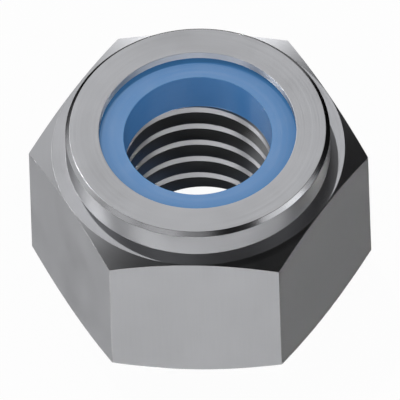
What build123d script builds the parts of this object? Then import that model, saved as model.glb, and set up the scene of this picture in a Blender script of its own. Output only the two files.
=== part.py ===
"""Prevailing-torque hexagon nut, M10 coarse thread, tall pattern, with a nylon locking ring.

Two pieces are modelled. The steel body is a hexagon, chamfered at both ends, that carries a round
collar. A groove inside the collar holds the nylon ring, and the collar's rim is rolled inward over
the ring's rounded shoulder, so that the ring can't lift out when a bolt is driven through it.

Frame: the origin is the centre of the bearing face, +Z runs along the thread towards the collar, and
two corners of the hexagon lie on the X axis, so that one pair of flats faces -Y and +Y.
"""

import os
from math import cos, radians, tan

from build123d import *

# Thread. The bore is the plain hole before its thread is cut, so its wall is where the crests lie.
thread_diameter = 10.0
thread_pitch = 1.5
crest_depth_per_pitch = 1.0825
crest_allowance = 0.113

# Hexagon. The chamfer cone starts just inside the flats and takes off the corners.
across_flats = 16.75
hexagon_height = 9.61
chamfer_angle = 22.8
chamfer_inset = 0.025

# Collar, which is the wall round the nylon ring, and its rolled rim.
collar_height = 1.76
collar_wall = 1.2
rim_thickness = 0.5
rim_overhang = 0.714
rim_chamfer = 0.23

# Nylon ring. Its plain bore is smaller than the bolt by the bite that locks the thread.
ring_thickness = 2.66
ring_wall = 2.1
ring_bite = 1.55
ring_shoulder_radius = 0.6
ring_side_clearance = 0.02

# Countersink where the bolt enters, a little wider than the bolt.
countersink_margin = 0.2
countersink_angle = 100.0

# Heights and radii that follow from the sizes above.
nut_height = hexagon_height + collar_height
ring_top = nut_height - rim_thickness
ring_seat = ring_top - ring_thickness
bore_radius = (thread_diameter - crest_depth_per_pitch * thread_pitch + crest_allowance) / 2
countersink_radius = (thread_diameter + countersink_margin) / 2
corner_radius = across_flats / 2 / cos(radians(30))
chamfer_start_radius = across_flats / 2 - chamfer_inset
ring_bore_radius = (thread_diameter - ring_bite) / 2
ring_outer_radius = ring_bore_radius + ring_wall
groove_radius = ring_outer_radius + ring_side_clearance
rim_opening_radius = groove_radius - rim_overhang
collar_radius = groove_radius + collar_wall

# The cone is drawn out past the corners, so that it cuts every corner over its whole height.
cone_reach = 2 * corner_radius - chamfer_start_radius
cone_rise = (cone_reach - chamfer_start_radius) * tan(radians(chamfer_angle))

with BuildPart() as nut_body:
    with BuildSketch(Plane.XY) as hexagon_outline:
        RegularPolygon(radius=across_flats / 2, side_count=6, major_radius=False)
    extrude(amount=hexagon_height)

    # A double cone leaves its curved edge on each flat, at both ends of the hexagon.
    with BuildSketch(Plane.XZ) as chamfer_profile:
        with BuildLine() as chamfer_outline:
            Polyline(
                (0, 0),
                (chamfer_start_radius, 0),
                (cone_reach, cone_rise),
                (cone_reach, hexagon_height - cone_rise),
                (chamfer_start_radius, hexagon_height),
                (0, hexagon_height),
                close=True,
            )
        make_face()
    revolve(axis=Axis.Z, mode=Mode.INTERSECT)

    with BuildSketch(Plane.XY.offset(hexagon_height)) as collar_outline:
        Circle(collar_radius)
    extrude(amount=collar_height)
    rim_edge = nut_body.faces().sort_by(Axis.Z)[-1].edges()
    chamfer(rim_edge, length=rim_chamfer)

    # The groove, its rounded roof under the rolled rim, and the opening inside the rim.
    with BuildSketch(Plane.XZ) as groove_profile:
        with BuildLine() as groove_outline:
            roof = Polyline(
                (0, nut_height),
                (rim_opening_radius, nut_height),
                (rim_opening_radius, ring_top),
                (groove_radius - ring_shoulder_radius, ring_top),
            )
            curl = TangentArc(
                roof @ 1,
                (groove_radius, ring_top - ring_shoulder_radius),
                tangent=roof % 1,
            )
            Polyline(curl @ 1, (groove_radius, ring_seat), (0, ring_seat), (0, nut_height))
        make_face()
    revolve(axis=Axis.Z, mode=Mode.SUBTRACT)

    # The bore goes right through, with its countersink in the bearing face.
    with Locations(Location((0, 0, 0), (180, 0, 0))):
        CounterSinkHole(
            radius=bore_radius,
            counter_sink_radius=countersink_radius,
            counter_sink_angle=countersink_angle,
        )

with BuildPart() as nylon_insert:
    with BuildSketch(Plane.XY.offset(ring_seat)) as ring_outline:
        Circle(ring_outer_radius)
        Circle(ring_bore_radius, mode=Mode.SUBTRACT)
    extrude(amount=ring_thickness)
    outer_edges = nylon_insert.edges().filter_by(GeomType.CIRCLE).group_by(SortBy.RADIUS)[-1]
    fillet(outer_edges.sort_by(Axis.Z)[-1], radius=ring_shoulder_radius)

nut_body.part.label = "nut_body"
nylon_insert.part.label = "nylon_insert"

os.makedirs("parts", exist_ok=True)
export_step(nut_body.part, "parts/nut_body.step")
export_step(nylon_insert.part, "parts/nylon_insert.step")
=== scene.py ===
"""Looks of the tall M10 lock nut with a nylon ring: its steel body, its ring and a small photo studio.

The steel body is one closed surface, worked out on a grid of angle and outline, with the right-hand
thread as a true helix. The ring is a second closed surface that fills the groove under the rolled rim.
All lengths are in metres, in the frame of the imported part: the origin is the centre of the bearing
face, +Z runs along the thread towards the collar, and two corners of the hexagon lie on the X axis.
"""

import logging
import math
from dataclasses import dataclass
from enum import Enum

import bmesh
import bpy
import numpy as np
from mathutils import Matrix, Vector


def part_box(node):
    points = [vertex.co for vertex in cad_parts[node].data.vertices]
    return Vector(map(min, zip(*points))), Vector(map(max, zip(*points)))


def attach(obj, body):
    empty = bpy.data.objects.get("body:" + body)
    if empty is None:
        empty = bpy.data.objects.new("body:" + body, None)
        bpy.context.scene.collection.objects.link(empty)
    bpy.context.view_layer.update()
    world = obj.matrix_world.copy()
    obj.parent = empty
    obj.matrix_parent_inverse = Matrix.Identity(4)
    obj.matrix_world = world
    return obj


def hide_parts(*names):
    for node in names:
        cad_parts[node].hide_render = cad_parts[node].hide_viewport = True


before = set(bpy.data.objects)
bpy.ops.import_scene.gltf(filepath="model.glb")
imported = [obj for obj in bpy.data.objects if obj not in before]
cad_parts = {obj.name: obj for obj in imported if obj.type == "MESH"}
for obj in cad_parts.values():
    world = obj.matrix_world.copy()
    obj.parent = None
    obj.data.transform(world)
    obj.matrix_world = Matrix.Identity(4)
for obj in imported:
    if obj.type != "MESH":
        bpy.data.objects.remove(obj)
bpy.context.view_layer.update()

log = logging.getLogger("lock_nut")

MM = 0.001
FULL_TURN = 2.0 * math.pi
SIXTH_TURN = math.pi / 3.0
TWELFTH_TURN = math.pi / 6.0
ROOT_BODY = "root"
BODY_NODE = "nut_body"
RING_NODE = "nylon_insert"
BODY_NAME = "steel_body"
RING_NAME = "nylon_ring"
EDGE_ATTRIBUTE = "edge_wear"


class Surface(Enum):
    """How a face of the nut was made, which picks its material slot."""

    FORGED = 0
    TURNED = 1
    RIM = 2
    THREAD = 3
    CHAMFER = 4


@dataclass(frozen=True)
class ThreadSizes:
    """Right-hand metric thread of the bore: the groove and its lands, the helix and the countersink."""

    major_radius: float = 5.0 * MM
    minor_radius: float = 4.2446 * MM
    pitch: float = 1.5 * MM
    flank_angle: float = math.radians(30.0)
    crest_at_x_axis: float = -0.023 * MM
    countersink_radius: float = 5.1 * MM
    countersink_half_angle: float = math.radians(50.0)

    @property
    def root_flat(self) -> float:
        """Height of the groove's bottom, an eighth of the pitch."""
        return self.pitch / 8.0

    @property
    def crest_flat(self) -> float:
        """Height of the land that is left between two grooves."""
        flanks = 2.0 * (self.major_radius - self.minor_radius) * math.tan(self.flank_angle)
        return self.pitch - self.root_flat - flanks

    def wall_radius(self, angle: np.ndarray, height: np.ndarray) -> np.ndarray:
        """Radius of the thread's wall.

        Along the axis the wall repeats every pitch: it is the minor radius over the land, rises along
        a straight flank, is the major radius over the root, and falls again. Turning by one full turn
        lifts that outline by one pitch.

        Args:
            angle: Angles about the thread axis, in radians.
            height: Heights above the bearing face, of the same shape.

        Returns:
            The wall's radius at each place.
        """
        centre = self.crest_at_x_axis + self.pitch * angle / FULL_TURN
        offset = np.abs((height - centre + self.pitch / 2.0) % self.pitch - self.pitch / 2.0)
        rise = (offset - self.crest_flat / 2.0) / math.tan(self.flank_angle)
        return self.minor_radius + np.clip(rise, 0.0, self.major_radius - self.minor_radius)

    def countersink_wall(self, height: np.ndarray) -> np.ndarray:
        """Radius of the countersink's cone, which narrows upwards from the bearing face."""
        return self.countersink_radius - height * math.tan(self.countersink_half_angle)


@dataclass(frozen=True)
class BodySizes:
    """Outline of the steel body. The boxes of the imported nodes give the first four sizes."""

    across_flats: float
    height: float
    ring_top: float
    ring_seat: float
    hexagon_height: float = 9.61 * MM
    chamfer_slope: float = math.tan(math.radians(22.8))
    chamfer_inset: float = 0.025 * MM
    collar_radius: float = 7.545 * MM
    groove_radius: float = 6.345 * MM
    rim_opening_radius: float = 5.631 * MM
    rim_chamfer: float = 0.23 * MM
    shoulder_radius: float = 0.6 * MM
    shoulder_steps: int = 6
    corner_rounding: float = 0.06 * MM
    edge_rounding: float = 0.012 * MM
    ledge_rounding: float = 0.004 * MM


@dataclass(frozen=True)
class Strip:
    """Rows of the outline between two corners, and how they were made.

    Attributes:
        rows: Radius and height, of shape (rows, columns, 2).
        wear: How much of a worn edge each point is, of shape (rows, columns).
        surface: How the faces between the rows were made.
        wraps: True where the last column joins the first by index.
    """

    rows: np.ndarray
    wear: np.ndarray
    surface: Surface
    wraps: bool = True


def quarter_circle(inner: float, top: float, radius: float, steps: int) -> list[tuple[float, float]]:
    """Points of a shoulder that turns from level to upright.

    Each lies at the circle's centre plus the radius times the cosine outward and the sine upward.

    Args:
        inner: Distance from the axis at which the turn starts.
        top: Height at which it starts.
        radius: Radius of the turn.
        steps: Faces across it.

    Returns:
        Distance from the axis and height of each point.
    """
    return [
        (inner + radius * math.cos(angle), top - radius * (1.0 - math.sin(angle)))
        for angle in np.linspace(math.pi / 2.0, 0.0, steps + 1)
    ]


def add_object(name: str, data: bpy.types.ID) -> bpy.types.Object:
    """Adds an object to the scene.

    Args:
        name: Name of the object.
        data: Its mesh, lamp or camera.

    Returns:
        The new object.
    """
    made = bpy.data.objects.new(name, data)
    bpy.context.scene.collection.objects.link(made)
    return made


def lerp(start: np.ndarray, end: np.ndarray, share: np.ndarray) -> np.ndarray:
    """Point that lies the given share of the way from start to end."""
    return start + (end - start) * share


def mesh_from_strips(name: str, strips: list[Strip], angles: np.ndarray) -> bpy.types.Mesh:
    """Turns strips of an outline round the axis into one closed mesh.

    A point at radius r, angle a and height h lies at (r cos a, r sin a, h). Neighbouring rows and
    columns make four-sided faces. Points that coincide, as where two strips meet, are then merged.

    Args:
        name: Name of the mesh.
        strips: Strips that follow each other round the section.
        angles: Angle of each column, with the full turn as the last one.

    Returns:
        The closed mesh, with its faces outward and each face's surface as its material index.
    """
    places, quads, surfaces, wear = [], [], [], []
    base = 0
    for strip in strips:
        count, columns = strip.wear.shape
        turn = angles[:columns]
        radius, height = strip.rows[..., 0], strip.rows[..., 1]
        place = np.stack([radius * np.cos(turn), radius * np.sin(turn), height], axis=-1)
        index = base + np.arange(count * columns).reshape(count, columns)
        if strip.wraps:
            index = np.concatenate([index, index[:, :1]], axis=1)
        faces = np.stack([index[:-1, :-1], index[:-1, 1:], index[1:, 1:], index[1:, :-1]], axis=-1)
        faces = faces.reshape(-1, 4)
        places.append(place.reshape(-1, 3))
        quads.append(faces)
        surfaces.append(np.full(len(faces), strip.surface.value, np.int32))
        wear.append(strip.wear.ravel())
        base += count * columns
    mesh = bpy.data.meshes.new(name)
    mesh.from_pydata(np.concatenate(places), [], np.concatenate(quads).tolist())
    mesh.polygons.foreach_set("material_index", np.concatenate(surfaces))
    attribute = mesh.attributes.new(EDGE_ATTRIBUTE, "FLOAT", "POINT")
    attribute.data.foreach_set("value", np.concatenate(wear).astype(np.float32))
    close_mesh(mesh)
    return mesh


def close_mesh(mesh: bpy.types.Mesh, merge_distance: float = 5e-8, crease: float = 35.0) -> None:
    """Merges points that coincide, turns the faces outward and keeps only real creases sharp.

    Args:
        mesh: Mesh to finish in place.
        merge_distance: Points nearer than this are one point, in metres.
        crease: Faces that meet at more than this many degrees keep a sharp edge.
    """
    work = bmesh.new()
    work.from_mesh(mesh)
    bmesh.ops.remove_doubles(work, verts=work.verts, dist=merge_distance)
    bmesh.ops.dissolve_degenerate(work, edges=work.edges, dist=merge_distance)
    bmesh.ops.recalc_face_normals(work, faces=work.faces)
    open_edges = sum(1 for edge in work.edges if len(edge.link_faces) != 2)
    work.to_mesh(mesh)
    work.free()
    mesh.polygons.foreach_set("use_smooth", np.ones(len(mesh.polygons), bool))
    mesh.set_sharp_from_angle(angle=math.radians(crease))
    mesh.update()
    log.info("%s: %d faces, %d open edges", mesh.name, len(mesh.polygons), open_edges)


@dataclass(frozen=True)
class Corner:
    """A corner of the outline, for every column at once.

    Attributes:
        radius: Distance from the axis, as one number or one for each column.
        height: Height above the bearing face, likewise.
        surface: How the face after this corner was made.
        reach: How far its rounding runs back along both sides, in metres. None keeps it crisp.
        worn: True where the rounding is an outer edge that wears.
    """

    radius: float | np.ndarray
    height: float | np.ndarray
    surface: Surface
    reach: float | None = None
    worn: bool = True

    def place(self, columns: int) -> np.ndarray:
        """Radius and height of every column, of shape (columns, 2)."""
        return np.stack([np.broadcast_to(size, columns) for size in (self.radius, self.height)], axis=-1)


def outline_strips(
    corners: list[Corner], columns: int, steps: int = 4, hold: float = 1.6, most: float = 0.3
) -> list[Strip]:
    """Joins corners by straight faces, with each corner rounded by a short curve.

    The curve is a quadratic one: for t from 0 to 1 it is C + (1-t)^2 A + t^2 B, where C is the corner,
    and A and B are the steps of one reach back and ahead. A row a little further out on each side
    keeps the face flat up to the edge.

    Args:
        corners: Corners in order. The first and last are ends.
        columns: Columns round the axis.
        steps: Faces across each rounding.
        hold: Place of the holding row, in reaches from the corner.
        most: Largest share of a side that the reach may take.

    Returns:
        One strip for each face, with the rounding after it.
    """
    places = [corner.place(columns) for corner in corners]
    made = [corner.surface for corner in corners]
    none = np.zeros(columns)
    strips = []
    start, start_wear = [places[0]], [none]
    for corner, surface, before, here, after in zip(corners[1:], made, places, places[1:], places[2:]):
        back, ahead = before - here, after - here
        rows, wear = list(start), list(start_wear)
        if corner.reach is None:
            rows.append(here)
            wear.append(none)
            start, start_wear = [here], [none]
        else:
            back_length = np.linalg.norm(back, axis=-1, keepdims=True)
            ahead_length = np.linalg.norm(ahead, axis=-1, keepdims=True)
            reach = np.minimum(corner.reach, most * np.minimum(back_length, ahead_length))
            near, far = back / back_length * reach, ahead / ahead_length * reach
            blend = np.linspace(0.0, 1.0, steps + 1)[:, None, None]
            curve = here + (1 - blend) ** 2 * near + blend**2 * far
            worn = none + (1.0 if corner.worn else 0.0)
            rows += [here + hold * near, *curve]
            wear += [none] + [worn] * (steps + 1)
            start, start_wear = [curve[-1], here + hold * far], [worn, none]
        strips.append(Strip(np.stack(rows), np.stack(wear), surface))
    last = Strip(np.stack([*start, places[-1]]), np.stack([*start_wear, none]), made[-2])
    return [*strips, last]


@dataclass(frozen=True)
class HexagonPlan:
    """Plan of the hexagon, with small rounded corners on the X axis and every sixth of a turn.

    Attributes:
        across_flats: Distance between opposite flats.
        rounding: Radius of the corners.
        steps: Columns across each flat.
        corner_steps: Columns across half a rounded corner.
    """

    across_flats: float
    rounding: float
    steps: int = 44
    corner_steps: int = 2

    @property
    def half_corner(self) -> float:
        """Angle, seen from the axis, from a corner to where its rounding ends.

        Returns:
            The angle, in radians.
        """
        corner = self.across_flats / 2.0 / math.cos(TWELFTH_TURN)
        run = self.rounding * math.tan(TWELFTH_TURN)
        return math.atan2(run * math.cos(TWELFTH_TURN), corner - run * math.sin(TWELFTH_TURN))

    def angles(self) -> np.ndarray:
        """Angle of each column over one turn, closer together at the corners.

        Returns:
            Angles from 0 to a full turn, both included.
        """
        half = self.half_corner
        corner = np.linspace(0.0, half, self.corner_steps + 1)
        flat = np.linspace(2.0 * half, SIXTH_TURN - 2.0 * half, self.steps)
        sector = np.concatenate([corner, flat, SIXTH_TURN - corner[:0:-1]])
        turn = (np.arange(6)[:, None] * SIXTH_TURN + sector).ravel()
        return np.append(turn, FULL_TURN)

    def from_corner(self, angle: np.ndarray) -> np.ndarray:
        """Angle from the nearest corner, between minus and plus a twelfth of a turn."""
        return (angle + TWELFTH_TURN) % SIXTH_TURN - TWELFTH_TURN

    def radius(self, angle: np.ndarray) -> np.ndarray:
        """Distance from the axis to the outline.

        Away from the corners it is half the width across flats, divided by the cosine of the angle
        from the flat's middle. Across a corner it is the far crossing with a circle whose centre lies
        on the corner's own line.

        Args:
            angle: Angles about the axis.

        Returns:
            The outline's radius at each angle.
        """
        turn = self.from_corner(angle)
        flat = self.across_flats / 2.0 / np.cos(TWELFTH_TURN - np.abs(turn))
        centre = (self.across_flats / 2.0 - self.rounding) / math.cos(TWELFTH_TURN)
        under_root = np.maximum(self.rounding**2 - (centre * np.sin(turn)) ** 2, 0.0)
        arc = centre * np.cos(turn) + np.sqrt(under_root)
        return np.where(np.abs(turn) < self.half_corner, arc, flat)

    def wear(self, angle: np.ndarray) -> np.ndarray:
        """One on a rounded corner, its last column included, and zero on the flats."""
        slack = 1.01
        return np.where(np.abs(self.from_corner(angle)) <= self.half_corner * slack, 1.0, 0.0)


@dataclass
class NutBody:
    """Steel body: hexagon, collar with its rolled rim, groove, seat and threaded bore.

    Attributes:
        sizes: Outline of the body.
        thread: Thread of the bore.
    """

    sizes: BodySizes
    thread: ThreadSizes = ThreadSizes()

    def __post_init__(self) -> None:
        """Lays out the columns, which every strip of the body shares."""
        self.plan = HexagonPlan(self.sizes.across_flats, self.sizes.corner_rounding)
        self.angles = self.plan.angles()

    def outside(self) -> list[Strip]:
        """Outer outline, from the countersink's edge out and up over the collar to the seat.

        The cone that takes off the hexagon's corners rises by its slope for each step outward, so it
        meets each flat on a curve that is lowest at the corners.

        Returns:
            The strips of the outside, the rim, the groove and the seat.
        """
        size, thread = self.sizes, self.thread
        turn = self.angles[:-1]
        flats = self.plan.radius(turn)
        start = size.across_flats / 2.0 - size.chamfer_inset
        rise = (flats - start) * size.chamfer_slope
        low, high = rise, size.hexagon_height - rise
        edge = size.edge_rounding
        bend = size.groove_radius - size.shoulder_radius
        seat_edge = thread.wall_radius(turn, np.full_like(turn, size.ring_seat))
        forged, turned = Surface.FORGED, Surface.TURNED
        corners = [
            Corner(thread.countersink_radius, 0.0, turned),
            Corner(start, 0.0, Surface.CHAMFER, edge),
            Corner(flats, low, forged, edge),
            Corner(flats, high, Surface.CHAMFER, edge),
            Corner(start, size.hexagon_height, turned, size.ledge_rounding),
            Corner(size.collar_radius, size.hexagon_height, turned, edge, worn=False),
            Corner(size.collar_radius, size.height - size.rim_chamfer, Surface.RIM, edge),
            Corner(size.collar_radius - size.rim_chamfer, size.height, turned, edge),
            Corner(size.rim_opening_radius, size.height, turned, edge),
            Corner(size.rim_opening_radius, size.ring_top, turned),
        ]
        roof = quarter_circle(bend, size.ring_top, size.shoulder_radius, size.shoulder_steps)
        corners += [Corner(*point, turned) for point in roof]
        corners.append(Corner(size.groove_radius, size.ring_seat, turned))
        corners.append(Corner(seat_edge, size.ring_seat, turned))
        strips = outline_strips(corners, len(turn))
        upright_side = 2
        upright = strips[upright_side]
        worn = np.maximum(upright.wear, self.plan.wear(turn))
        strips[upright_side] = Strip(upright.rows, worn, upright.surface)
        return strips

    def bore(self) -> Strip:
        """Threaded wall, as rows that follow the helix.

        The rows are the four creases of each turn: both edges of the land and both edges of the root.
        A crease climbs by one pitch over a full turn. Where the wall would pass the seat it stops
        there, and where the countersink is wider, the point moves out to its cone. An extra row
        between two creases stands where the wall crosses that cone, so the thread runs out cleanly.

        Returns:
            The strip from the bearing face up to the seat.
        """
        thread, size = self.thread, self.sizes
        turn = self.angles
        spare_turns = 2
        turns = math.ceil(size.ring_seat / thread.pitch) + spare_turns
        half_land, half_root, middle = thread.crest_flat / 2.0, thread.root_flat / 2.0, thread.pitch / 2.0
        creases = np.array([-half_land, half_land, middle - half_root, middle + half_root])
        step = np.arange(-spare_turns, turns) * thread.pitch
        lift = (step[:, None] + creases[None, :]).ravel()
        depth = np.array([thread.minor_radius] * 2 + [thread.major_radius] * 2)
        height = lift[:, None] + thread.crest_at_x_axis + thread.pitch * turn[None, :] / FULL_TURN
        radius = np.broadcast_to(np.tile(depth, len(step))[:, None], height.shape)
        above = height > size.ring_seat
        at_seat = thread.wall_radius(turn, np.full_like(turn, size.ring_seat))
        radius = np.where(above, at_seat[None, :], radius)
        height = np.where(above, size.ring_seat, height)
        gap = radius - thread.countersink_wall(height)
        change = gap[:-1] - gap[1:]
        share = np.divide(gap[:-1], change, out=np.zeros_like(change), where=change != 0.0)
        share = np.clip(share, 0.0, 1.0)
        rows = np.empty((2 * len(height) - 1, len(turn), 2))
        rows[0::2, :, 0], rows[0::2, :, 1] = radius, height
        rows[1::2, :, 0] = lerp(radius[:-1], radius[1:], share)
        rows[1::2, :, 1] = lerp(height[:-1], height[1:], share)
        rows[..., 1] = np.maximum(rows[..., 1], 0.0)
        rows[..., 0] = np.maximum(rows[..., 0], thread.countersink_wall(rows[..., 1]))
        return Strip(rows, np.zeros(rows.shape[:2]), Surface.THREAD, wraps=False)

    def build(self) -> bpy.types.Object:
        """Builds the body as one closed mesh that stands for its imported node.

        Returns:
            The finished object, riding on the part's only body.
        """
        mesh = mesh_from_strips(BODY_NAME, [*self.outside(), self.bore()], self.angles)
        body = add_object(BODY_NAME, mesh)
        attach(body, ROOT_BODY)
        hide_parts(BODY_NODE)
        return body

    def dress(self, body: bpy.types.Object, effects: "Effects") -> None:
        """Gives each kind of surface its finish, in the order of the faces' material index."""
        for surface in Surface:
            body.data.materials.append(STEEL_FINISHES[surface].build(effects))


@dataclass(frozen=True)
class NylonRing:
    """Moulded ring that fills the groove, with a plain bore a little narrower than the thread.

    Attributes:
        outer_radius: Radius of the outside.
        seat: Height of its foot.
        top: Height of its top.
        bore_radius: Radius of the plain bore.
        shoulder_radius: Radius of the rounded outer shoulder.
        shoulder_steps: Faces across the shoulder.
        edge_rounding: Reach of the roundings of the bore's edges.
        columns: Columns round the axis.
    """

    outer_radius: float
    seat: float
    top: float
    bore_radius: float = 4.225 * MM
    shoulder_radius: float = 0.6 * MM
    shoulder_steps: int = 8
    edge_rounding: float = 0.03 * MM
    columns: int = 256

    def build(self) -> bpy.types.Object:
        """Turns the ring's outline round the axis: bore, top, rounded shoulder, outside and foot.

        The outline starts and ends halfway up the bore, so that both of the bore's edges are rounded.
        The whole ring has one finish, so its faces all have the first material index.

        Returns:
            The finished object, riding on the part's only body.
        """
        angles = np.linspace(0.0, FULL_TURN, self.columns + 1)
        made = Surface.FORGED
        bend = self.outer_radius - self.shoulder_radius
        middle = self.seat + (self.top - self.seat) / 2.0
        shoulder = quarter_circle(bend, self.top, self.shoulder_radius, self.shoulder_steps)
        corners = [
            Corner(self.bore_radius, middle, made),
            Corner(self.bore_radius, self.top, made, self.edge_rounding),
            *(Corner(*point, made) for point in shoulder),
            Corner(self.outer_radius, self.seat, made),
            Corner(self.bore_radius, self.seat, made, self.edge_rounding),
            Corner(self.bore_radius, middle, made),
        ]
        mesh = mesh_from_strips(RING_NAME, outline_strips(corners, self.columns), angles)
        ring = add_object(RING_NAME, mesh)
        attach(ring, ROOT_BODY)
        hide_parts(RING_NODE)
        return ring

    def dress(self, ring: bpy.types.Object, effects: "Effects") -> None:
        """Gives the ring its finish."""
        ring.data.materials.append(NYLON_FINISH.build(effects))


def direction(azimuth: float, elevation: float) -> Vector:
    """Direction at so many degrees from +X towards +Y, and so many above the horizon."""
    turn, lift = math.radians(azimuth), math.radians(elevation)
    return Vector((math.cos(lift) * math.cos(turn), math.cos(lift) * math.sin(turn), math.sin(lift)))


@dataclass(frozen=True)
class Viewpoint:
    """Parallel camera at the photograph's angle. All lengths are in metres.

    Attributes:
        azimuth: Degrees from +X towards +Y in which the camera stands.
        elevation: Degrees above the horizon.
        roll: Degrees that the picture is turned.
        width: Width of the picture.
        right_of_centre: How far right of the picture's centre the origin appears.
        below_centre: How far below it the origin appears.
        distance: Distance of the camera from the origin.
        near: Distance from the camera at which it starts to see.
        far: Distance at which it ends.
    """

    azimuth: float = 273.3577
    elevation: float = 51.937
    roll: float = -1.983
    width: float = 22.766 * MM
    right_of_centre: float = 0.1062 * MM
    below_centre: float = 3.0512 * MM
    distance: float = 200.0 * MM
    near: float = 1.0 * MM
    far: float = 2000.0 * MM

    def build(self) -> bpy.types.Object:
        """Makes the camera and gives it to the scene.

        Its right and up axes are those of a level camera, turned by the roll.

        Returns:
            The camera.
        """
        roll = math.radians(self.roll)
        back = direction(self.azimuth, self.elevation)
        level = Vector((-back.y, back.x, 0.0)).normalized()
        upward = back.cross(level)
        right = level * math.cos(roll) + upward * math.sin(roll)
        up = upward * math.cos(roll) - level * math.sin(roll)
        data = bpy.data.cameras.new("camera")
        data.type = "ORTHO"
        data.ortho_scale = self.width
        data.clip_start, data.clip_end = self.near, self.far
        camera = add_object("camera", data)
        place = back * self.distance - right * self.right_of_centre + up * self.below_centre
        axes = Matrix((right, up, back)).transposed().to_4x4()
        camera.matrix_world = Matrix.Translation(place) @ axes
        bpy.context.scene.camera = camera
        return camera


Socket = bpy.types.NodeSocket
Colour = tuple[float, float, float]
Span = tuple[float, float]


class NodeBench:
    """Short hand for laying out the nodes of one tree."""

    def __init__(self, tree: bpy.types.NodeTree) -> None:
        """Keeps the tree of a material, a world or a group, and clears it."""
        self.tree = tree
        tree.nodes.clear()

    def add(self, kind: str, inputs: dict | None = None, **settings: object) -> bpy.types.Node:
        """Adds a node, sets its options and fills its inputs.

        Args:
            kind: Blender's name of the node type, without the leading ShaderNode or NodeGroup.
            inputs: For each input's name or number, a value or the socket that feeds it.
            **settings: Options of the node itself.

        Returns:
            The new node.
        """
        family = "NodeGroup" if kind in ("Input", "Output") else "ShaderNode"
        node = self.tree.nodes.new(family + kind)
        for option, value in settings.items():
            setattr(node, option, value)
        for name, value in (inputs or {}).items():
            if isinstance(value, Socket):
                self.tree.links.new(value, node.inputs[name])
            else:
                node.inputs[name].default_value = value
        return node

    def math(self, operation: str, first: Socket | float, second: Socket | float = 0.0) -> Socket:
        """One step of arithmetic on numbers."""
        return self.add("Math", {0: first, 1: second}, operation=operation).outputs[0]

    def vector(self, operation: str, *given: Socket | Colour | Vector, gives: str = "Vector") -> Socket:
        """One step of arithmetic on vectors, which gives a vector or, where it says so, a value."""
        return self.add("VectorMath", dict(enumerate(given)), operation=operation).outputs[gives]

    def mix(self, share: Socket, start: Socket | Colour, end: Colour) -> Socket:
        """Blends two colours.

        Args:
            share: How much of the end there is.
            start: Colour at share zero.
            end: Colour at share one.

        Returns:
            The colour between them.
        """
        start = start if isinstance(start, Socket) else (*start, 1.0)
        inputs = {"Factor": share, "A": start, "B": (*end, 1.0)}
        return self.add("Mix", inputs, data_type="RGBA").outputs["Result"]

    def smooth(self, value: Socket, span: Span) -> Socket:
        """Rises smoothly from zero at the span's start to one at its end."""
        inputs = {"Value": value, "From Min": span[0], "From Max": span[1]}
        return self.add("MapRange", inputs, interpolation_type="SMOOTHSTEP").outputs["Result"]

    def fall(self, value: Socket, span: Span) -> Socket:
        """Falls smoothly from one at the span's start to zero at its end."""
        return self.math("SUBTRACT", 1.0, self.smooth(value, span))

    def total(self, start: float, *terms: tuple[Socket, float]) -> Socket:
        """Adds up shares of several values.

        Args:
            start: Number to start from.
            *terms: A socket and its share for each value.

        Returns:
            Start plus each socket times its share.
        """
        for socket, share in terms:
            start = self.math("ADD", start, self.math("MULTIPLY", socket, share))
        return start

    def noise(self, place: Socket, scale: Socket | float, detail: float = 2.0) -> Socket:
        """Cloudy noise about zero, mostly within one.

        Args:
            place: Where it is read.
            scale: Waves for each unit of place.
            detail: Number of finer layers.

        Returns:
            The noise.
        """
        middle, spread, fine_share = 0.5, 4.0, 0.55
        inputs = {"Vector": place, "Scale": scale, "Detail": detail, "Roughness": fine_share}
        cloud = self.add("TexNoise", inputs).outputs[0]
        return self.math("MULTIPLY", self.math("SUBTRACT", cloud, middle), spread)


def new_group(name: str, takes: str, gives: str) -> tuple[NodeBench, bpy.types.bpy_prop_collection]:
    """Starts a shader node group that reads a position and some numbers, and gives numbers.

    Args:
        name: Name of the group.
        takes: Names of the numbers that it reads, with commas between them.
        gives: Names of the numbers that it gives, likewise.

    Returns:
        The bench for its nodes, and the outputs of its input node.
    """
    tree = bpy.data.node_groups.new(name, "ShaderNodeTree")
    tree.interface.new_socket("Position", in_out="INPUT", socket_type="NodeSocketVector")
    for way, labels in (("INPUT", takes), ("OUTPUT", gives)):
        for label in labels.split(", "):
            tree.interface.new_socket(label, in_out=way, socket_type="NodeSocketFloat")
    bench = NodeBench(tree)
    return bench, bench.add("Input").outputs


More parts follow.
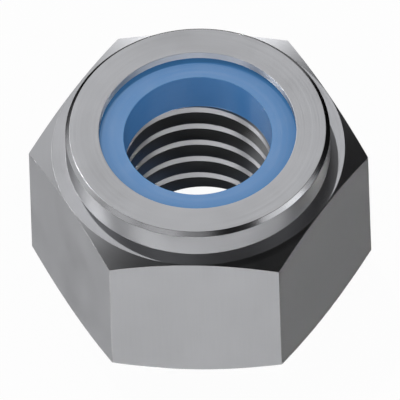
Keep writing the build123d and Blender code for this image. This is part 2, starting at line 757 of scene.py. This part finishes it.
class Effects:
    """The shared effects, each built once as a node group."""

    def __init__(self) -> None:
        """Builds every group."""
        self.turning = self.turning_lines()
        self.drawn = self.drawn_streaks()
        self.skin = self.plated_skin()
        self.wear = self.worn_edges()

    def turning_lines(self) -> bpy.types.NodeTree:
        """Fine rings left by a turning tool.

        Noise is read at the distance from the axis and the height, both in units of the ring spacing,
        and only very slowly along the angle, so it makes rings on a flat face and hoops on a wall.

        Returns:
            The group.
        """
        bench, given = new_group("turning_lines", "Spacing", "Lines")
        part = bench.add("SeparateXYZ", {0: given["Position"]}).outputs
        across = bench.math("MULTIPLY", part["X"], part["X"])
        along = bench.math("MULTIPLY", part["Y"], part["Y"])
        radius = bench.math("SQRT", bench.math("ADD", across, along))
        steps = bench.math("DIVIDE", radius, given["Spacing"])
        hoops = bench.math("DIVIDE", part["Z"], given["Spacing"])
        angle = bench.math("COSINE", bench.math("ARCTAN2", part["Y"], part["X"]))
        place = bench.add("CombineXYZ", {"X": steps, "Y": hoops, "Z": angle}).outputs[0]
        bench.add("Output", {"Lines": bench.noise(place, 1.0)})
        return bench.tree

    def drawn_streaks(self) -> bpy.types.NodeTree:
        """Straight streaks along the axis, as a die leaves them on a forged flat.

        Noise is read at the place across in units of the streak spacing, and forty times more slowly
        along the axis.

        Returns:
            The group.
        """
        bench, given = new_group("drawn_streaks", "Spacing", "Lines")
        waves = bench.math("DIVIDE", 1.0, given["Spacing"])
        slow_along = (1.0, 1.0, 1.0 / 40.0)
        place = bench.vector("MULTIPLY", given["Position"], slow_along)
        bench.add("Output", {"Lines": bench.noise(place, waves)})
        return bench.tree

    def plated_skin(self) -> bpy.types.NodeTree:
        """Cloudy tone and fine grain of a plated or moulded skin.

        The cloud is noise at the given patch size. The grain is noise at a thirtieth of it.

        Returns:
            The group.
        """
        bench, given = new_group("plated_skin", "Patch Size", "Cloud, Grain")
        waves = bench.math("DIVIDE", 1.0, given["Patch Size"])
        grains_across = 30.0
        cloud = bench.noise(given["Position"], waves, detail=3.0)
        grain = bench.noise(given["Position"], bench.math("MULTIPLY", waves, grains_across))
        bench.add("Output", {"Cloud": cloud, "Grain": grain})
        return bench.tree

    def worn_edges(self) -> bpy.types.NodeTree:
        """Mask of edges that are rubbed bright.

        It is the mesh's own edge value, broken up by noise at the patch size.

        Returns:
            The group.
        """
        bench, given = new_group("worn_edges", "Edge, Patch Size", "Mask")
        waves = bench.math("DIVIDE", 1.0, given["Patch Size"])
        plain_to_rubbed = (-1.2, 1.0)
        patches = bench.smooth(bench.noise(given["Position"], waves, detail=4.0), plain_to_rubbed)
        bench.add("Output", {"Mask": bench.math("MULTIPLY", given["Edge"], patches)})
        return bench.tree


class Lay(Enum):
    """Which way the fine marks of a surface run."""

    ROUND = "turning"
    UPRIGHT = "drawn"


@dataclass(frozen=True)
class Finish:
    """A surface with fine marks, a cloudy skin and rubbed edges. All lengths are in metres.

    Attributes:
        name: Name of the material.
        colour: Base colour, as linear red, green and blue.
        rubbed: Base colour where an edge is rubbed.
        metallic: One for bare or plated metal, zero for plastic.
        roughness: Roughness between the marks.
        lay: Which way the marks run.
        spacing: Spacing of the marks.
        line_tone: How far the marks change the colour, as a share.
        line_gloss: How far they change the roughness.
        line_depth: Height of the marks.
        cloud_tone: How far the clouds change the colour, as a share.
        cloud_gloss: How far they change the roughness.
        grain_depth: Height of the grain.
        patch: Size of the clouds.
        rubbed_gloss: How much smoother a rubbed edge is.
        specular: Specular level of the shader.
        groove: Painted shade, a darker base colour in a thread's depth, or None where there is none.
        groove_shade_rise: Distances from the axis between which it takes over.
        groove_gloss: How much smoother the depth is.
    """

    name: str
    colour: Colour
    rubbed: Colour
    metallic: float
    roughness: float
    lay: Lay = Lay.ROUND
    spacing: float = 0.09 * MM
    line_tone: float = 0.02
    line_gloss: float = 0.02
    line_depth: float = 0.0004 * MM
    cloud_tone: float = 0.02
    cloud_gloss: float = 0.02
    grain_depth: float = 0.0004 * MM
    patch: float = 2.5 * MM
    rubbed_gloss: float = 0.05
    specular: float = 0.5
    groove: Colour | None = None
    groove_shade_rise: Span = (4.25 * MM, 4.28 * MM)
    groove_gloss: float = 0.0

    @property
    def worn_patch(self) -> float:
        """Size of the patches in which an edge is rubbed, a third of the clouds' size."""
        return self.patch / 3.0

    def build(self, effects: Effects) -> bpy.types.Material:
        """Makes the material.

        The tone is one plus the marks and clouds, each times its share. It multiplies the base colour,
        which in a thread turns to a darker groove colour from its depth on, as painted shade, and the
        result turns to the rubbed colour by the edge mask. The roughness is its number plus the
        marks and clouds, each times its share, and is less on rubbed edges and in the groove. Marks
        and grain add up to the height that the bump reads.

        Args:
            effects: The shared node groups.

        Returns:
            The material.
        """
        material = bpy.data.materials.new(self.name)
        material.use_nodes = True
        bench = NodeBench(material.node_tree)
        place = bench.add("TexCoord").outputs["Object"]
        edge = bench.add("Attribute", attribute_name=EDGE_ATTRIBUTE).outputs["Fac"]
        pattern = getattr(effects, self.lay.value)
        marks = bench.add("Group", {"Position": place, "Spacing": self.spacing}, node_tree=pattern)
        skin = bench.add("Group", {"Position": place, "Patch Size": self.patch}, node_tree=effects.skin)
        inputs = {"Position": place, "Edge": edge, "Patch Size": self.worn_patch}
        mask = bench.add("Group", inputs, node_tree=effects.wear).outputs["Mask"]
        line, cloud, grain = marks.outputs["Lines"], skin.outputs["Cloud"], skin.outputs["Grain"]

        tone = bench.total(1.0, (line, self.line_tone), (cloud, self.cloud_tone))
        gloss = [(line, self.line_gloss), (cloud, self.cloud_gloss), (mask, -self.rubbed_gloss)]
        plain = self.colour
        # Painted shade: in a thread the base colour darkens to the groove colour towards the depth.
        if self.groove:
            level = bench.vector("MULTIPLY", place, (1.0, 1.0, 0.0))
            groove_shade_mask = bench.smooth(bench.vector("LENGTH", level, gives="Value"), self.groove_shade_rise)
            plain = bench.mix(groove_shade_mask, self.colour, self.groove)
            gloss.append((groove_shade_mask, -self.groove_gloss))
        base = bench.add("VectorMath", {0: plain, "Scale": tone}, operation="SCALE").outputs[0]
        colour = bench.mix(mask, base, self.rubbed)
        roughness = bench.total(self.roughness, *gloss)
        height = bench.total(0.0, (line, self.line_depth), (grain, self.grain_depth))
        bump = bench.add("Bump", {"Height": height, "Distance": 1.0})
        look = {"Base Color": colour, "Metallic": self.metallic, "Roughness": roughness}
        look |= {"Normal": bump.outputs[0], "Specular IOR Level": self.specular}
        shader = bench.add("BsdfPrincipled", look).outputs[0]
        bench.add("OutputMaterial", {"Surface": shader})
        return material


STEEL = (0.444, 0.448, 0.466)
RUBBED_STEEL = (0.52, 0.52, 0.53)
# Painted shade: a darker base colour for the depth of a thread's grooves, where shade falls.
GROOVE_SHADE_STEEL = (0.20, 0.20, 0.20)


def steel(name: str, roughness: float, lay: Lay = Lay.ROUND, **changes: float | Colour) -> Finish:
    """A finish of the one plated steel, with any changes to its other fields."""
    return Finish(name, STEEL, RUBBED_STEEL, metallic=1.0, roughness=roughness, lay=lay, **changes)


STEEL_FINISHES = {
    Surface.FORGED: steel("forged_zinc_steel", 0.38, Lay.UPRIGHT),
    Surface.TURNED: steel("turned_zinc_steel", 0.34),
    Surface.RIM: steel("rolled_rim_steel", 0.22),
    Surface.CHAMFER: steel("chamfered_steel", 0.30, line_depth=0.0001 * MM, grain_depth=0.0001 * MM),
    Surface.THREAD: steel(
        "cut_thread_steel", 0.40, spacing=0.05 * MM, groove=GROOVE_SHADE_STEEL, groove_gloss=0.10
    ),
}
NYLON_FINISH = Finish(
    "moulded_blue_nylon",
    colour=(0.064, 0.222, 0.495),
    rubbed=(0.12, 0.30, 0.56),
    metallic=0.0,
    roughness=0.25,
    spacing=0.14 * MM,
    line_tone=0.015,
    cloud_tone=0.03,
    patch=1.8 * MM,
    specular=0.15,
)


class Rays(Enum):
    """Kinds of ray that the background answers to."""

    CAMERA = "Is Camera Ray"
    THROUGH_GLASS = "Is Transmission Ray"
    MIRRORED = "Is Glossy Ray"


def background_share(bench: NodeBench, mirrored: Socket | float) -> Socket:
    """How much of the white background a ray sees.

    It is one for rays from the camera or through glass, the given share for rays mirrored by the
    object, and zero for the rays that light a matt surface.

    Args:
        bench: Bench of the material or world.
        mirrored: Share of white for mirrored rays.

    Returns:
        The share, from zero to one.
    """
    path = bench.add("LightPath").outputs
    straight = bench.math("MAXIMUM", path[Rays.CAMERA.value], path[Rays.THROUGH_GLASS.value])
    return bench.math("MAXIMUM", straight, bench.math("MULTIPLY", path[Rays.MIRRORED.value], mirrored))


@dataclass(frozen=True)
class Lamp:
    """One distant lamp of the studio.

    Attributes:
        name: Name of the lamp.
        azimuth: Degrees round from +X towards +Y.
        elevation: Degrees above the horizon. Lamps below it stand for light thrown up by the floor.
        strength: Strength, in watts for each square metre.
        softness: Width of the lamp as seen from the nut, in degrees.
        shadow: True where it casts a shadow.
        lights: Name of the one piece that it lights, or None for all of them.
        direct_only: True where its light ends on the first surface, and nothing mirrors it again.
    """

    name: str
    azimuth: float
    elevation: float
    strength: float
    softness: float = 25.0
    shadow: bool = False
    lights: str | None = None
    direct_only: bool = False

    def build(self) -> None:
        """Hangs the lamp in its direction, shining at the origin.

        Only a lamp above the horizon is also found by mirrored rays, because the floor would hide the
        others from them. One that lights a single piece has a collection with just that piece.
        """
        data = bpy.data.lights.new(self.name, "SUN")
        data.energy = self.strength
        data.angle = math.radians(self.softness)
        data.use_shadow = self.shadow
        if self.direct_only:
            data.cycles.max_bounces = 0
        data.cycles.use_multiple_importance_sampling = self.elevation > 0.0
        lamp = add_object(self.name, data)
        towards = direction(self.azimuth, self.elevation)
        lamp.rotation_euler = towards.to_track_quat("Z", "Y").to_euler()
        if self.lights:
            receivers = bpy.data.collections.new("lit_by_" + self.name)
            receivers.objects.link(bpy.data.objects[self.lights])
            lamp.light_linking.receiver_collection = receivers


@dataclass(frozen=True)
class Studio:
    """Pale floor, white surroundings and the lamps.

    The camera and glass see white all round. In the metal the same white shows over the floor in
    front of the nut, over a ring of floor further out, over a low band of the surroundings and over a
    backdrop beside it. The rest is dark, and two black flags break the ring and the band. All lengths
    are in metres, and all azimuths in degrees from +X towards +Y.

    Attributes:
        lamps: The lamps.
        floor_radius: Radius of the round floor.
        floor_corners: Corners of its outline.
        floor_drop: How far the floor lies under the bearing face, so that they don't coincide.
        floor_white: Share of white that the floor shows. The rest takes the shadow.
        floor_grey: Base colour of that rest.
        front_azimuth: Azimuth in which the floor in front turns white in the metal.
        front_rise: Distances that way between which it does.
        ring_rise: Distances from the origin between which the ring of floor turns white.
        backdrop_azimuth: Azimuth of the backdrop's middle.
        backdrop_rise: Cosines of the angle from the middle between which it turns white.
        backdrop_fall: Upward parts of the direction between which it fades.
        band_fall: Upward parts of the direction between which the low band fades.
        band_white: White of the band.
        right_flag: Azimuth of the flag in front of the ring and the band.
        left_flag: Azimuth of the flag in front of the ring alone.
        flag_rise: Cosines of the angle from a flag's middle between which it turns black.
        dim: White that the dark part of the surroundings shows in the metal.
        matt_world: Strength of the even light that falls on matt surfaces.
    """

    lamps: tuple[Lamp, ...]
    floor_radius: float = 1000.0 * MM
    floor_corners: int = 96
    floor_drop: float = 0.02 * MM
    floor_white: float = 0.96
    floor_grey: Colour = (0.8, 0.8, 0.8)
    front_azimuth: float = 240.0
    front_rise: Span = (20.0 * MM, 120.0 * MM)
    ring_rise: Span = (22.0 * MM, 70.0 * MM)
    backdrop_azimuth: float = 133.0
    backdrop_rise: Span = (0.3, 0.8)
    backdrop_fall: Span = (0.6, 0.95)
    band_fall: Span = (0.05, 0.35)
    band_white: float = 0.8
    right_flag: float = 22.0
    left_flag: float = 154.0
    flag_rise: Span = (0.68, 0.80)
    dim: float = 0.01
    matt_world: float = 0.57

    def towards(self, bench: NodeBench, place: Socket, azimuth: float) -> Socket:
        """Part of a place or direction that lies towards the azimuth, on the level."""
        return bench.vector("DOT_PRODUCT", place, direction(azimuth, 0.0), gives="Value")

    def past_flag(self, bench: NodeBench, way: Socket, azimuth: float) -> Socket:
        """One away from a black flag at the azimuth, falling smoothly to zero in its direction."""
        return bench.fall(self.towards(bench, way, azimuth), self.flag_rise)

    def pale_floor(self) -> bpy.types.Material:
        """Makes a surface that is white to the camera and still takes a faint shadow.

        In the metal its white is the greater of two smooth rises: one with the distance towards the
        front, and one with the distance from the origin, times both flags. From below it is clear.

        Returns:
            The material.
        """
        material = bpy.data.materials.new("pale_floor")
        material.use_nodes = True
        material.cycles.emission_sampling = "NONE"
        bench = NodeBench(material.node_tree)
        place = bench.add("TexCoord").outputs["Object"]
        front = bench.smooth(self.towards(bench, place, self.front_azimuth), self.front_rise)
        ring = bench.smooth(bench.vector("LENGTH", place, gives="Value"), self.ring_rise)
        way = bench.vector("NORMALIZE", place)
        for flag in (self.left_flag, self.right_flag):
            ring = bench.math("MULTIPLY", ring, self.past_flag(bench, way, flag))
        share = background_share(bench, bench.math("MAXIMUM", front, ring))
        share = bench.math("MULTIPLY", share, self.floor_white)
        matt = bench.add("BsdfDiffuse", {"Color": (*self.floor_grey, 1.0)}).outputs[0]
        white = bench.add("Emission", {"Strength": 1.0}).outputs[0]
        pale = bench.add("MixShader", {0: share, 1: matt, 2: white}).outputs[0]
        in_metal = bench.add("Emission", {"Strength": share}).outputs[0]
        glossy = bench.add("LightPath").outputs[Rays.MIRRORED.value]
        top = bench.add("MixShader", {0: glossy, 1: pale, 2: in_metal}).outputs[0]
        below = bench.add("NewGeometry").outputs["Backfacing"]
        clear = bench.add("BsdfTransparent").outputs[0]
        surface = bench.add("MixShader", {0: below, 1: top, 2: clear}).outputs[0]
        bench.add("OutputMaterial", {"Surface": surface})
        return material

    def floor(self) -> None:
        """Lays the round floor just under the bearing face."""
        turn = np.linspace(0.0, FULL_TURN, self.floor_corners, endpoint=False)
        across, along = self.floor_radius * np.cos(turn), self.floor_radius * np.sin(turn)
        rim = np.stack([across, along, np.full_like(turn, -self.floor_drop)], axis=-1)
        mesh = bpy.data.meshes.new("floor")
        mesh.from_pydata(rim, [], [list(range(len(turn)))])
        mesh.materials.append(self.pale_floor())
        floor = add_object("floor", mesh)

    def surroundings(self) -> None:
        """Makes the world: white to the camera, with a white backdrop and a low band in the metal.

        For mirrored rays the backdrop is a smooth fall with the upward part of the ray's direction,
        times a smooth rise with its part towards the backdrop's middle. The band is a lower fall of
        the same kind, times its white and the right flag. The share is the greater of the two, plus a
        little. Rays that light a matt surface see an even grey instead.
        """
        world = bpy.data.worlds.new("studio")
        world.use_nodes = True
        world.cycles.sampling_method = "NONE"
        bench = NodeBench(world.node_tree)
        way = bench.add("TexCoord").outputs["Generated"]
        upward = bench.add("SeparateXYZ", {0: way}).outputs["Z"]
        side = bench.smooth(self.towards(bench, way, self.backdrop_azimuth), self.backdrop_rise)
        backdrop = bench.math("MULTIPLY", bench.fall(upward, self.backdrop_fall), side)
        band = bench.math("MULTIPLY", bench.fall(upward, self.band_fall), self.band_white)
        band = bench.math("MULTIPLY", band, self.past_flag(bench, way, self.right_flag))
        white = bench.math("MAXIMUM", backdrop, band)
        share = background_share(bench, bench.math("ADD", white, self.dim))
        diffuse = bench.add("LightPath").outputs["Is Diffuse Ray"]
        inputs = {"Value": diffuse, "To Min": share, "To Max": self.matt_world}
        strength = bench.add("MapRange", inputs).outputs["Result"]
        light = bench.add("Background", {"Strength": strength}).outputs[0]
        bench.add("OutputWorld", {"Surface": light})
        bpy.context.scene.world = world

    def build(self) -> None:
        """Lays the floor, sets the surroundings and hangs the lamps."""
        self.floor()
        self.surroundings()
        for lamp in self.lamps:
            lamp.build()


STUDIO = Studio(
    lamps=(
        Lamp("key", 116.0, 55.0, 0.59, softness=1.5, shadow=True, direct_only=True),
        Lamp("ring_key", 94.0, 52.0, 0.28, softness=1.5, shadow=True, lights=RING_NAME, direct_only=True),
        Lamp("back_card", 91.0, 5.0, 0.29),
        Lamp("left_card", 188.0, 20.0, 0.05),
        Lamp("left_high_card", 178.0, 48.0, 0.13, direct_only=True),
        Lamp("left_front_card", 212.0, 26.0, 0.12, direct_only=True),
        Lamp("front_left_card", 240.0, 38.0, 0.12),
        Lamp("front_card", 266.0, 38.0, 0.06),
        Lamp("right_front_card", 332.0, 27.0, 0.19),
        Lamp("right_card", 0.0, 25.0, 0.10),
        Lamp("right_strip", 349.0, 22.0, 0.08, softness=16.0),
        Lamp("left_bounce", 180.0, -35.0, 0.69),
        Lamp("front_bounce", 270.0, -35.0, 0.31),
        Lamp("front_right_bounce", 300.0, -55.0, 0.10),
        Lamp("back_right_bounce", 38.0, -54.0, 0.07, lights=BODY_NAME),
        Lamp("ring_bounce", 147.0, -52.0, 0.04, lights=RING_NAME),
        Lamp("back_floor_bounce", 92.0, -14.0, 0.19),
        Lamp("left_floor_bounce", 210.0, -75.0, 1.44),
        Lamp("right_floor_bounce", 0.0, -75.0, 1.21),
    )
)


def main() -> None:
    """Builds the nut and its studio in order, and reports each piece."""
    logging.basicConfig(level=logging.INFO, format="%(name)s: %(message)s")
    bpy.context.scene.view_settings.view_transform = "Standard"
    low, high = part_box(BODY_NODE)
    ring_low, ring_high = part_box(RING_NODE)
    sizes = BodySizes(high.y - low.y, high.z - low.z, ring_top=ring_high.z, ring_seat=ring_low.z)
    outer_radius = (ring_high.x - ring_low.x) / 2.0
    effects = Effects()
    for piece in (NutBody(sizes), NylonRing(outer_radius, seat=ring_low.z, top=ring_high.z)):
        made = piece.build()
        piece.dress(made, effects)
        log.info("%s is built, with %d finishes", made.name, len(made.data.materials))
    camera = Viewpoint().build()
    log.info("%s is at %.0f mm from the origin", camera.name, camera.location.length / MM)
    STUDIO.build()
    log.info("the studio has a floor, surroundings and %d lamps", len(STUDIO.lamps))


if __name__ == "__main__":
    main()
